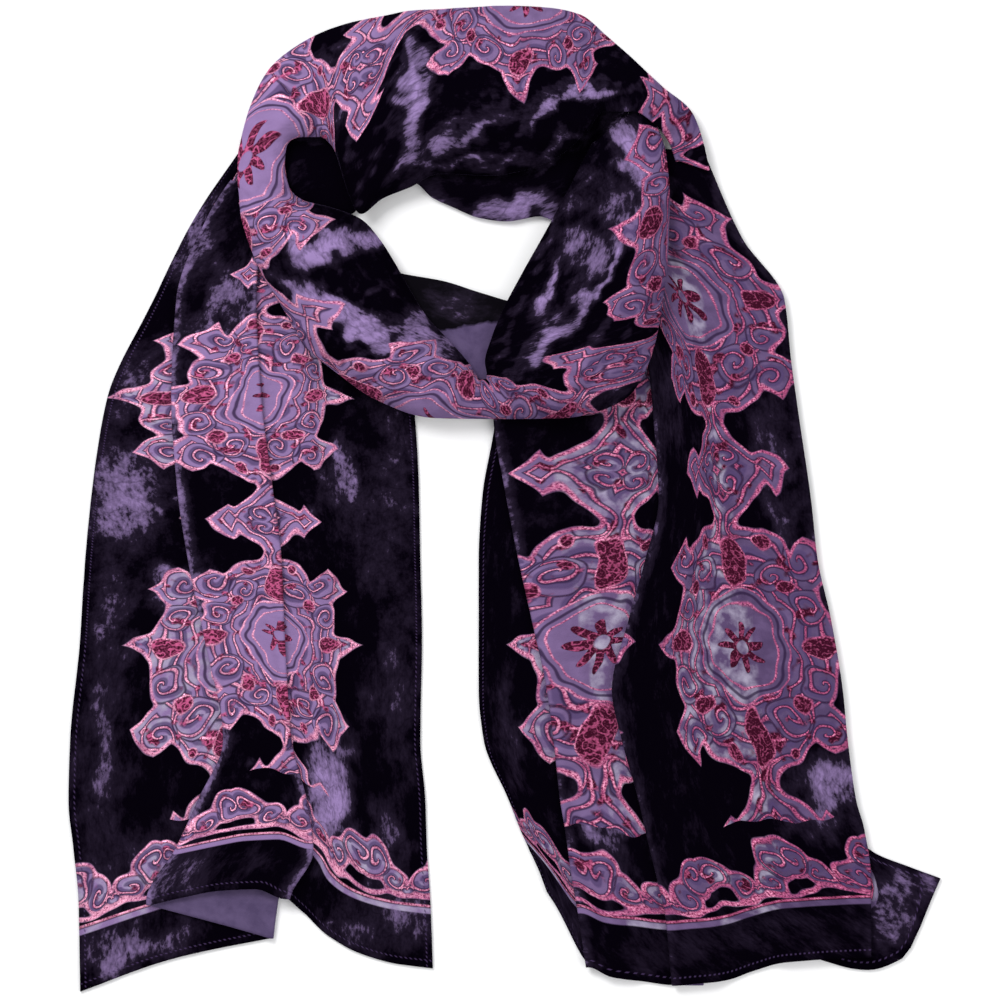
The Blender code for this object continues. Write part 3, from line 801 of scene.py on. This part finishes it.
def design(paint, across, along):
    """Masks of the burnt-out design on the cloth, from millimetres across and along it."""
    where = paint.place(across, along)
    beside = paint.place(across, along, 40.0)
    warp_x = (paint.noise(where, WARP_SIZE, detail=1.0, roughness=0.35) - 0.5) * WARP
    warp_y = (paint.noise(beside, WARP_SIZE, detail=1.0, roughness=0.35) - 0.5) * WARP
    t, s = across + warp_x, along + warp_y
    x = abs(abs(t - MIDDLE) - COLUMN)
    y = abs(((s - FIRST_ROW) / ROW + 0.5).part() - 0.5) * ROW
    edge = medallion(paint, x, y).least(link(x, HALF_ROW - y)).least(x - STEM, 6.0)

    repeat = abs((t / BORDER_REPEAT).part() - 0.5) * BORDER_REPEAT
    border = s - BORDER_TOP
    for scroll in BORDER_SCROLLS:
        lobe = length(repeat - scroll.x, s - scroll.y) - scroll.radius - 1.5
        border = border.least(lobe, 5.0)
    border = border.most(HEM_BAND + 5.0 - s)
    in_border = (s - BORDER_END).inside(0.1)
    edge = in_border * border + (1.0 - in_border) * edge

    start = edge / -STRAP_PITCH + STRAP_START
    phase, rims = scroll_phase(paint, start, x, y, SCROLLS)
    low_phase, low_rims = scroll_phase(paint, start, repeat, s, BORDER_SCROLLS)
    phase = in_border * low_phase + (1.0 - in_border) * phase
    rims = in_border * low_rims + (1.0 - in_border) * rims
    straps = bands(phase)

    middle = oval(OVAL, x, y) + in_border * ELSEWHERE
    angle = paint.maths("ARCTAN2", y, x)
    radius = length(x, y)
    petal = paint.maths("COSINE", angle * 8.0)
    flower = radius - 10.5 - petal * 4.5
    flower_eye = radius - 4.0
    tall_leaf = oval(TALL_LEAF, x, y - 49.0)
    wide_leaf = oval(WIDE_LEAF, x - 43.0, y)
    bud = length(x - 30.0, y - 33.0) - 4.5
    low_bud = length(x - 19.0, y - 60.0) - 3.5
    leaf = tall_leaf.least(wide_leaf).least(bud).least(low_bud) + in_border * ELSEWHERE

    inside = edge.inside()
    clear_oval = (middle - 7.5).inside()
    around = inside * (1.0 - clear_oval)
    leaf_in = leaf.inside() * around
    open_ground = around * (1.0 - leaf_in)
    outline = (abs(edge + 1.0) - 0.9).inside(0.5) * inside
    second = bands(phase * 0.5 + 0.25)
    pink_strap = ((straps - 0.78) * 8.0).clamped() * open_ground
    dark_strap = ((straps - 0.56) * 7.0).clamped() * open_ground
    deep_strap = ((second - 0.5) * 8.0).clamped() * open_ground
    rim_lines = rims * open_ground
    ring_lines = (abs(middle) - 0.5).inside().most((abs(middle - 7.0) - 0.5).inside()) * inside
    leaf_rim = (abs(leaf) - 0.45).inside() * inside * (1.0 - clear_oval)
    patches = paint.noise(paint.place(across, along, 90.0), 9.0, detail=1.0)
    tufts = ((patches - 0.57) * 12.0).clamped() * open_ground * (edge + 4.0).inside()
    device = flower.inside() * (1.0 - flower_eye.inside()) * (1.0 - in_border)
    curl = paint.noise(paint.place(across, along, 60.0), 5.0, detail=1.0)
    scribble = (abs(curl - 0.5) - 0.03).inside(0.025)
    pile = leaf_in.most(device).most(tufts)
    pink = pink_strap.most(outline).most(ring_lines).most(leaf_rim) * (1.0 - device)

    hem_line = (abs(along - HEM_BAND) - 1.6).inside()
    return {
        "cut": inside.most(hem_line),
        "pink": pink.most((abs(along - HEM_BAND - 2.6) - 0.6).inside()),
        "dark": dark_strap.most(rim_lines).most((abs(middle - 3.6) - 0.8).inside() * inside),
        "deep": deep_strap,
        "pile": pile,
        "scribble": scribble,
    }


def pile_tone_and_highlight(paint, across, along, light):
    """How pale the pile looks, from 0 to 1: random crushed tone, painted highlights from the
    light given, and painted shade along thin wrinkles.
    """
    crush = paint.noise(paint.place(across, along * 0.5, 7.0), 11.0, detail=8.0, roughness=0.76)
    fine = paint.noise(paint.place(across, along * 0.4, 3.0), 1.7, detail=2.0)
    wrinkle_shade = abs(paint.noise(paint.place(across, along * 0.8, 19.0), 16.0, detail=3.0) - 0.5)
    level = light * 0.84 + (crush - 0.5) * (1.1 + light * 0.35) + (fine - 0.5) * 0.8 * light
    pile_paleness = paint.ramp(level, (0.05, 0.0), (0.38, 0.045), (0.52, 0.40), (0.90, 1.0))
    return pile_paleness * paint.ramp(wrinkle_shade, (0.0, 0.6), (0.03, 1.0))


DARK_PILE = (0.0013, 0.0006, 0.0024, 1.0)
STITCH = (0.060, 0.036, 0.098, 1.0)
# Lavender of the painted highlights on the pile
HIGHLIGHT_LAVENDER = (0.265, 0.180, 0.380, 1.0)
CHIFFON = (0.235, 0.150, 0.320, 1.0)
# Chiffon in painted shade
SHADED_CHIFFON = (0.072, 0.045, 0.108, 1.0)
SHEER = (0.36, 0.33, 0.43, 1.0)
DEEP_STRAP = (0.070, 0.044, 0.120, 1.0)
DARK_STRAP = (0.024, 0.012, 0.042, 1.0)
PINK = (0.48, 0.090, 0.215, 1.0)
# Foil's painted glint
PINK_GLINT = (0.92, 0.42, 0.60, 1.0)
WINE = (0.036, 0.004, 0.014, 1.0)
REVERSE = (0.088, 0.062, 0.135, 1.0)
DIM_REVERSE = (0.052, 0.036, 0.088, 1.0)


def pile_colour(paint, pile_paleness):
    """Colour of the pile from nearly black to lavender."""
    return paint.blend(pile_paleness, DARK_PILE, HIGHLIGHT_LAVENDER)


def set_constants(paint, sheen, specular):
    """Values that are the same all over a cloth."""
    paint.shader.inputs["Sheen Weight"].default_value = sheen
    paint.shader.inputs["Sheen Roughness"].default_value = SHEEN_ROUGHNESS
    paint.shader.inputs["Sheen Tint"].default_value = SHEEN_TINT
    paint.shader.inputs["Specular IOR Level"].default_value = specular


def cloth_coordinates(paint):
    """Millimetres across and along the cloth, from the piece's own map."""
    cloth = paint.node("ShaderNodeUVMap", {"uv_map": "cloth"}, {})
    parts = {"Vector": cloth}
    across = paint.node("ShaderNodeSeparateXYZ", {}, parts, output=0) * 1000.0
    along = paint.node("ShaderNodeSeparateXYZ", {}, parts, output=1) * 1000.0
    return across, along


def figured_velvet():
    """Velvet with the burnt-out design, foil-edged straps and hem stitches."""
    paint = Paint("figured_velvet")
    across, along = cloth_coordinates(paint)
    marks = design(paint, across, along)
    light, sheer = paint.attribute("light"), paint.attribute("sheer")
    left_light_falloff = paint.attribute("left_light_falloff")
    rim = paint.attribute("edge") * 1000.0
    # Pile paleness: random crushed tone with painted highlights
    pile_paleness = pile_tone_and_highlight(paint, across, along, light)
    where = paint.place(across, along)

    glint = paint.noise(where, 1.1, detail=2.0)
    cloud = paint.noise(where, 9.0, detail=3.0)
    weave = (across * 9.0).wave() * (along * 9.0).wave()

    # Chiffon in painted shade towards the right, with random tone, and paler under the painted
    # highlights
    thin = paint.blend((left_light_falloff + (cloud - 0.5) * 0.6).clamped(), SHADED_CHIFFON, CHIFFON)
    thin = paint.blend(((cloud - 0.42) * 3.2 * sheer).clamped(), thin, SHEER)
    thin = paint.blend((light * 0.35 + (cloud - 0.5) * 0.3).clamped(), thin, HIGHLIGHT_LAVENDER)
    thin = paint.blend(marks["deep"] * 0.80, thin, DEEP_STRAP)
    colour = paint.blend(marks["cut"], pile_colour(paint, pile_paleness), thin)
    colour = paint.blend(marks["dark"] * 0.85, colour, DARK_STRAP)
    # Tufts paler pink towards the left, as painted light, and with painted glints
    thread = marks["scribble"] * (0.4 + left_light_falloff * 0.5) + (glint - 0.5) * 1.6 + left_light_falloff * 0.25
    tuft = paint.blend((thread - 0.1).clamped(), WINE, PINK)
    colour = paint.blend(marks["pile"], colour, tuft)
    # Foil with painted glints, paler on the left and in painted shade towards the right
    shine = ((glint - 0.50) * 3.0 + (cloud - 0.5) * 1.6 + left_light_falloff * 0.8 - 0.2).clamped()
    foil = paint.blend(shine, PINK, PINK_GLINT)
    foil = paint.blend(((0.46 - glint) * 5.0 + 0.30 - left_light_falloff * 0.35).clamped(), foil, WINE)
    pink = (marks["pink"] * paint.ramp(cloud, (0.3, 0.5), (0.6, 1.0))).clamped()
    colour = paint.blend(pink, colour, foil)

    hem_row = (abs(along - STITCH_INSET) - 0.45).inside(0.25)
    stitch_rows = hem_row.most((abs(rim - SELVEDGE_INSET) - 0.45).inside(0.25))
    beat = ((along + across) * (2.0 * math.pi / STITCH_PITCH)).wave()
    stitches = stitch_rows * (beat * 3.0).clamped()
    colour = paint.blend(stitches * 0.7, colour, STITCH)

    roughness = 0.75 - pink * 0.37 - marks["cut"] * 0.05
    ruck = paint.noise(where, 3.4, detail=3.0)
    height = (1.0 - marks["cut"]) * 0.55 + marks["pile"] * 0.45 + marks["dark"] * 0.25
    height = height + pink * 0.35 + glint * 0.16 + ruck * 0.5 + weave * marks["cut"] * 0.04
    height = height - stitches * 0.35
    paint.coat(colour, roughness, height)
    paint.feed(paint.shader.inputs["Metallic"], pink * 0.55)
    set_constants(paint, 0.15, 0.0)
    return paint.material


def dark_velvet():
    """Plain crushed velvet."""
    paint = Paint("dark_velvet")
    across, along = cloth_coordinates(paint)
    # Pile with painted highlights
    pile_paleness = pile_tone_and_highlight(paint, across, along, paint.attribute("light"))
    fine = paint.noise(paint.place(across, along), 1.2, detail=3.0)
    ruck = paint.noise(paint.place(across, along), 4.0, detail=3.0)
    paint.coat(pile_colour(paint, pile_paleness), 0.68 + fine * 0.12, fine * 0.25 + ruck * 0.5)
    set_constants(paint, 0.15, 0.0)
    return paint.material


def woven_ground(paint, across, along):
    """Colour and relief of the flat woven ground behind the pile."""
    where = paint.place(across, along)
    weave = (across * 7.0).wave() * (along * 7.0).wave()
    cloud = paint.noise(where, 10.0, detail=5.0, roughness=0.6)
    colour = paint.blend(paint.ramp(cloud, (0.35, 0.0), (0.65, 1.0)), REVERSE, DIM_REVERSE)
    colour = paint.blend((weave * 0.06 + 0.06).clamped(), colour, HIGHLIGHT_LAVENDER)
    return colour, weave * 0.06 + cloud * 0.5


def reverse_side():
    """The flat side of the cloth."""
    paint = Paint("reverse_side")
    across, along = cloth_coordinates(paint)
    colour, height = woven_ground(paint, across, along)
    paint.coat(colour, 0.75 + height * 0.1, height)
    set_constants(paint, 0.05, 0.10)
    return paint.material


def turned_velvet():
    """Velvet whose lower part is turned to its flat side."""
    paint = Paint("turned_velvet")
    across, along = cloth_coordinates(paint)
    # Pile with painted highlights
    pile_paleness = pile_tone_and_highlight(paint, across, along, paint.attribute("light"))
    flat, height = woven_ground(paint, across, along)
    wander = (paint.noise(paint.place(across, along), 6.0) - 0.5) * 4.0
    turned = (paint.attribute("turned") * 1000.0 + wander).inside(0.8)
    colour = paint.blend(turned, pile_colour(paint, pile_paleness), flat)
    paint.coat(colour, 0.75 + height * 0.1, height + (1.0 - turned) * 0.8)
    set_constants(paint, 0.03, 0.05)
    return paint.material


def core_velvet():
    """The hidden layers' pile, read from the place in space, as the solid has no map."""
    paint = Paint("core_velvet")
    where = paint.node("ShaderNodeTexCoord", {}, {}, output=3)
    cloud = paint.noise(where, 0.012, detail=5.0)
    pile_paleness = ((cloud - 0.55) * 1.6).clamped()
    paint.coat(pile_colour(paint, pile_paleness), 0.6 + cloud * 0.1, cloud * 0.6)
    set_constants(paint, 0.02, 0.03)
    return paint.material


def placed(points):
    """The tables' millimetres as metres about the scarf's middle, never below the surface."""
    moved = np.asarray(points, dtype=float) - (CENTRE[0], CENTRE[1], 0.0)
    moved[..., 2] = np.maximum(moved[..., 2], 0.0)
    return moved * MM


def cloth_piece(name, points, across, along, values, materials):
    """A grid moved onto the points, mapped in cloth metres, thickened towards the pile side."""
    rows, columns = points.shape[:2]
    shape = bmesh.new()
    bmesh.ops.create_grid(shape, x_segments=columns - 1, y_segments=rows - 1, size=1.0)
    shape.verts.ensure_lookup_table()
    for vertex, spot in zip(shape.verts, placed(points).reshape(-1, 3)):
        vertex.co = spot
    mesh = bpy.data.meshes.new(name)
    shape.to_mesh(mesh)
    shape.free()
    corners = np.zeros(len(mesh.loops), dtype=np.int32)
    mesh.loops.foreach_get("vertex_index", corners)
    flat = np.stack((across, along), axis=-1).reshape(-1, 2) * MM
    layer = mesh.uv_layers.new(name="cloth")
    layer.data.foreach_set("uv", flat[corners].ravel())
    for value, amounts in values.items():
        store = mesh.attributes.new(value, "FLOAT", "POINT")
        store.data.foreach_set("value", np.asarray(amounts, dtype=float).ravel())
    for material in materials:
        mesh.materials.append(material)
    mesh.shade_smooth()
    piece = bpy.data.objects.new(name, mesh)
    bpy.context.scene.collection.objects.link(piece)
    wall = piece.modifiers.new("wall", "SOLIDIFY")
    wall.thickness = WALL * MM
    wall.offset = 1.0
    wall.material_offset = 1
    return piece


def steps_along(points, axis):
    """Running length of the grid along one axis, in millimetres."""
    gaps = np.linalg.norm(np.diff(points, axis=axis), axis=-1)
    start = np.zeros_like(np.take(gaps, [0], axis=axis))
    return np.cumsum(np.concatenate((start, gaps), axis=axis), axis=axis)


def left_light_falloff(x):
    """Painted light across the scarf, from 0 to 1: bright on the left, painted shade towards the
    right.
    """
    return np.clip(0.55 - x / 330.0, 0.0, 1.0)


def tail_lift(x, y):
    """Creases and soft waves of the pleated ends."""
    lift = fold_lift(TAIL_CREASES, x, y)
    for height, wave, seed in TAIL_WAVES:
        lift = lift + height * (1.0 + soft_waves(x, y, wave, seed)) / 2.0
    return lift


def loop_lift(x, y):
    """Folds, creases and soft waves of the loop."""
    lift = fold_lift(FOLDS, x, y) + fold_lift(LOOP_CREASES, x, y)
    for height, wave, seed in LOOP_WAVES:
        lift = lift + height * soft_waves(x, y, wave, seed)
    return lift


def fold_columns(runs):
    """The grid's columns in the middle of each fold between two runs."""
    columns = []
    count = 0
    for run in runs[:-1]:
        count += run.steps * RUN_FINENESS + FOLD_STEPS
        columns.append(count - FOLD_STEPS // 2)
    return columns


def tail_piece(name, points, runs, spread, turned_in, drawn_in, materials, flip):
    """A pleated end, mapped from its outer edge across and from its hem along."""
    x, y = points[..., 0], points[..., 1]
    made = steps_along(points, 1)
    share = made / made[:, -1:]
    turned = turned_in * (1.0 - share) * ease((y - TURNED_FROM) / TURNED_LENGTH)
    across = spread.read("across", share) + turned
    hem = y[:1]
    along = y - mix(hem, HEM_MIDDLE, ease((y - hem) / HEM_BLEND))
    along = along + drawn_in * np.maximum(along - FIRST_ROW, 0.0)
    points = points.copy()
    points[..., 2] += tail_lift(x, y)
    rim = np.minimum(made, made[:, -1:] - made)
    # Painted highlights on the creases' flanks, stronger on the left
    flank_highlight = slope_light(tail_lift, x, y) * (0.15 + 0.55 * left_light_falloff(x))
    # Painted highlight line along each pleat's fold, stronger on the left
    away = np.min(np.abs(made[..., None] - made[:, None, fold_columns(runs)]), axis=-1)
    fold_highlight = (0.30 + 0.34 * left_light_falloff(x)) * np.exp(-(away / FOLD_SHINE) ** 2.0)
    values = {
        "light": np.maximum(patch_light(x, y), np.maximum(flank_highlight, fold_highlight)),
        "sheer": np.where(points[..., 2] < SINGLE_LAYER, 1.0, 0.0),
        "left_light_falloff": left_light_falloff(x),
        "edge": rim * MM,
    }
    grids = [points, across, along] + list(values.values())
    if flip:
        grids = [grid[:, ::-1] for grid in grids]
    values = dict(zip(values, grids[3:]))
    return cloth_piece(name, grids[0], grids[1], grids[2], values, materials)


def loop_piece(name, materials):
    """The whole loop in one, mapped along its inner edge and across its sections."""
    first, last = LOOP.values[0, 0], LOOP.values[-1, 0]
    stations = np.linspace(first, last, int((last - first) * LOOP_FINENESS) + 1)
    points = arched_surface(LOOP, stations, LOOP_COLUMNS)
    x, y = points[..., 0].copy(), points[..., 1].copy()
    lengths = steps_along(points, 1)
    across = LOOP_MAP.read("across", stations)[:, None] - (lengths[:, -1:] - lengths)
    along = LOOP_MAP.read("along", stations)[:, None] + np.zeros_like(x)
    points[..., 2] += loop_lift(x, y)
    # Painted highlights on the loop's crease flanks
    flank_highlight = slope_light(loop_lift, x, y) * LOOP_FLANK_HIGHLIGHT
    values = {
        "light": np.maximum(patch_light(x, y), flank_highlight),
        "sheer": np.zeros_like(x),
        "left_light_falloff": left_light_falloff(x),
        "edge": np.full_like(x, SELVEDGE_FAR * MM),
    }
    return cloth_piece(name, points, across, along, values, materials)


def small_piece(name, sections, rows, materials):
    """The stretch under the back or the inner side of the front."""
    stations = np.linspace(sections.values[0, 0], sections.values[-1, 0], rows + 1)
    points = arched_surface(sections, stations, SMALL_COLUMNS)
    x, y = points[..., 0].copy(), points[..., 1].copy()
    across, along = steps_along(points, 1), steps_along(points, 0)
    points[..., 2] += 0.25 * soft_waves(x, y, 15.0, 5.0)
    (x1, y1), (x2, y2) = TURNED_BELOW
    above = y - y1 - (x - x1) * (y2 - y1) / (x2 - x1)
    # Painted highlight patches on the pile
    values = {"light": patch_light(x, y), "turned": above * MM}
    return cloth_piece(name, points, across, along, values, materials)


def dress(piece, nodes):
    """Attaches a cloth piece to the root body and hides the solids it stands for."""
    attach(piece, "root")
    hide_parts(*nodes)


def soft_light(name, place, size, watts):
    """A large lamp that looks at the scarf's middle."""
    lamp = bpy.data.lights.new(name, "AREA")
    lamp.shape = "SQUARE"
    lamp.size = size
    lamp.energy = watts
    holder = bpy.data.objects.new(name, lamp)
    holder.location = place
    x, y, z = place
    holder.rotation_euler = (math.atan2(math.hypot(x, y), z), 0.0, math.atan2(x, -y))
    bpy.context.scene.collection.objects.link(holder)


def build_studio():
    """Pale floor, soft lamps and the camera straight above."""
    shape = bmesh.new()
    bmesh.ops.create_grid(shape, x_segments=1, y_segments=1, size=FLOOR_HALF)
    bmesh.ops.translate(shape, verts=shape.verts, vec=(0.0, 0.0, -FLOOR_DROP))
    mesh = bpy.data.meshes.new("floor")
    shape.to_mesh(mesh)
    shape.free()
    paint = Paint("floor_paper")
    paint.shader.inputs["Base Color"].default_value = FLOOR_COLOUR
    paint.shader.inputs["Roughness"].default_value = 0.9
    mesh.materials.append(paint.material)
    floor = bpy.data.objects.new("floor", mesh)
    bpy.context.scene.collection.objects.link(floor)

    bpy.context.scene.view_settings.view_transform = "Standard"
    world = bpy.data.worlds.new("studio")
    bpy.context.scene.world = world
    world.use_nodes = True
    world.node_tree.nodes["Background"].inputs[0].default_value = (1.0, 1.0, 1.0, 1.0)
    world.node_tree.nodes["Background"].inputs[1].default_value = SKY_STRENGTH
    soft_light("key", (-0.9, 1.1, 1.5), 0.9, 30.0)
    soft_light("fill", (1.2, -0.5, 1.3), 1.4, 10.0)

    lens = bpy.data.cameras.new("overhead")
    lens.sensor_width = FILM_WIDTH
    lens.lens = FILM_WIDTH * CAMERA_HEIGHT / VIEW_SPAN
    camera = bpy.data.objects.new("overhead", lens)
    camera.location = (VIEW_CENTRE[0], VIEW_CENTRE[1], CAMERA_HEIGHT)
    bpy.context.scene.collection.objects.link(camera)
    bpy.context.scene.camera = camera


build_studio()
figured = figured_velvet()
plain = dark_velvet()
ground = reverse_side()
cloth_faces = [figured, ground]

left_grid = pleated_surface(LEFT_RAILS, LEFT_RUNS, LEFT_ENDS, 1.0)
left_end = tail_piece("left_tail_cloth", left_grid, LEFT_RUNS, LEFT_SPREAD, LEFT_TURNED_IN,
                      LEFT_DRAWN_IN, cloth_faces, False)
dress(left_end, ["left_tail"])
right_grid = pleated_surface(RIGHT_RAILS, RIGHT_RUNS, RIGHT_ENDS, -1.0)
right_end = tail_piece("right_tail_cloth", right_grid, RIGHT_RUNS, RIGHT_SPREAD, 0.0,
                       0.0, cloth_faces, True)
dress(right_end, ["right_tail"])

loop = loop_piece("loop_cloth", cloth_faces)
loop_nodes = ["front_right", "front_left", "back_over"]
dress(loop, loop_nodes)

under = small_piece("back_under_cloth", UNDER, UNDER_ROWS, [plain, ground])
dress(under, ["back_under"])
inner = small_piece("front_inside_cloth", INSIDE, INSIDE_ROWS, [turned_velvet(), ground])
dress(inner, ["front_inside"])

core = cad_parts["hidden_layers"]
core_finish = core_velvet()
for material_slot in core.material_slots:
    material_slot.material = core_finish
